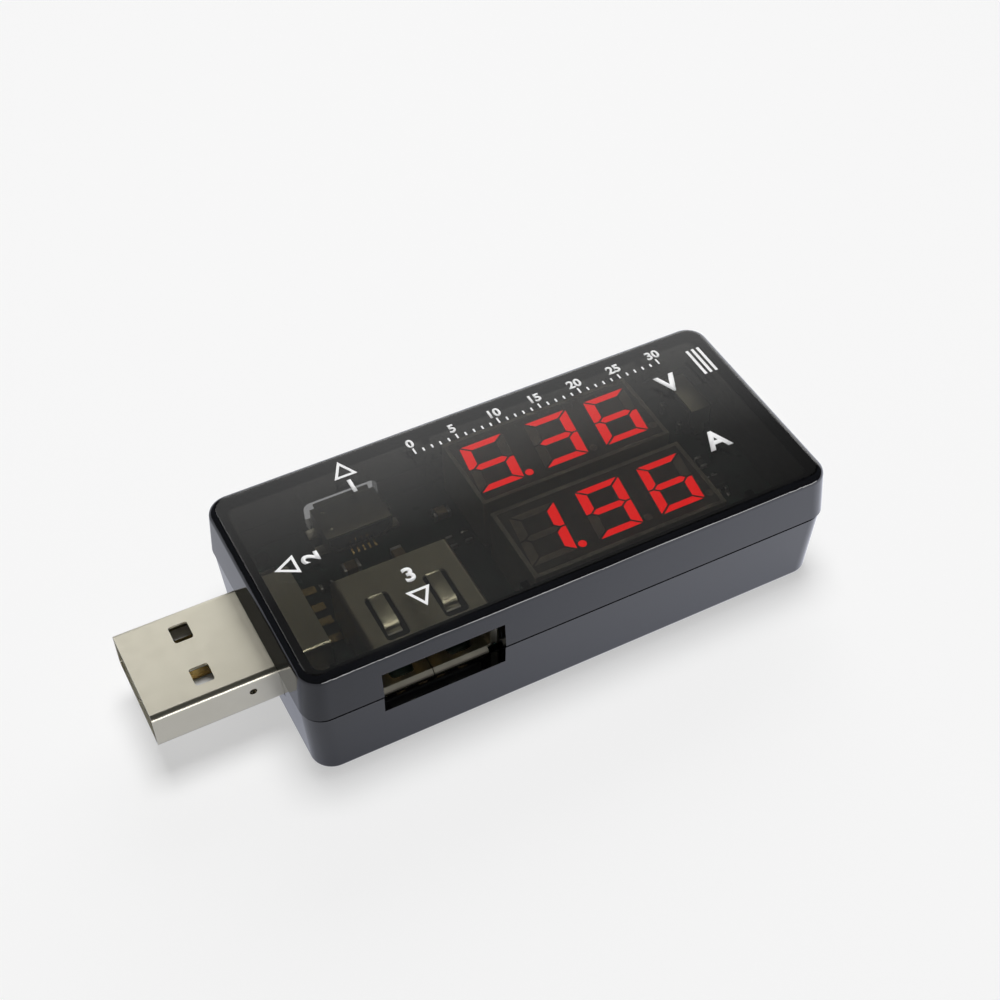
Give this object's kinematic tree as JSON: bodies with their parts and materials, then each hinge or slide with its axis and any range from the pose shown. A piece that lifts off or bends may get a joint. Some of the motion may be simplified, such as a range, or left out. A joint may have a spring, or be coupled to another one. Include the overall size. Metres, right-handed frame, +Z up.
{
  "type": "usb power meter",
  "caption": "Pocket USB power meter: smoked rectangular case with an end plug, a side socket, a micro socket behind, two stacked three-digit red displays and an end button.",
  "frame": {"origin": "centre of the overall bounding box at the underside of the case", "axes": "+X along the case away from the plug, +Y from the USB-A socket's side toward the micro socket's side, +Z up through the displays"},
  "size_m": [0.0742, 0.028, 0.015],
  "materials": {
    "smoked_plastic": "clear smoked plastic, glossy",
    "black_plastic": "black smoked plastic, glossy",
    "circuit_board": "green solder resist, satin",
    "solder": "bright solder",
    "nickel_steel": "nickel-plated sheet steel, satin",
    "white_plastic": "white moulding",
    "gold_contact": "thin gold plating",
    "black_moulding": "black moulding",
    "tin": "tin plating",
    "chip_ceramic": "black film on ceramic",
    "capacitor_ceramic": "tan ceramic",
    "chip_moulding": "black epoxy",
    "display_housing": "white moulding",
    "display_face": "black face",
    "lit_red": "lit red diffuser",
    "dark_diffuser": "unlit milky diffuser"
  },
  "bodies": {
    "meter": {"bottom_case": "black_plastic", "top_cover": "smoked_plastic", "main_board": "circuit_board", "solder_joints": "solder", "plug_shell": "nickel_steel", "plug_insulator": "white_plastic", "plug_contacts": "gold_contact", "socket_shell": "nickel_steel", "socket_insulator": "black_moulding", "socket_contacts": "gold_contact", "micro_socket_shell": "nickel_steel", "micro_socket_insulator": "black_moulding", "micro_socket_contacts": "gold_contact", "switch_body": "black_moulding", "switch_frame": "nickel_steel", "switch_pins": "tin", "switch_dome": "nickel_steel", "chip_resistor_bodies": "chip_ceramic", "chip_resistor_ends": "tin", "chip_capacitor_bodies": "capacitor_ceramic", "chip_capacitor_ends": "tin", "shunt_resistor_body": "chip_ceramic", "shunt_resistor_ends": "tin", "microcontroller_body": "chip_moulding", "microcontroller_leads": "tin", "amplifier_body": "chip_moulding", "amplifier_leads": "tin", "regulator_body": "chip_moulding", "regulator_leads": "tin", "voltage_display_housing": "display_housing", "voltage_display_face": "display_face", "voltage_display_lit_bars": "lit_red", "voltage_display_dark_bars": "dark_diffuser", "voltage_display_pins": "tin", "current_display_housing": "display_housing", "current_display_face": "display_face", "current_display_lit_bars": "lit_red", "current_display_dark_bars": "dark_diffuser", "current_display_pins": "tin"},
    "button": {"menu_button": "black_moulding"}
  },
  "joints": [
    {"name": "menu_button_press", "type": "slide", "parent": "meter", "child": "button", "axis": [-1, 0, 0], "range_m": [0, 0.00025], "stiffness_N_per_m": 2000, "springref_m": -0.0002}
  ]
}
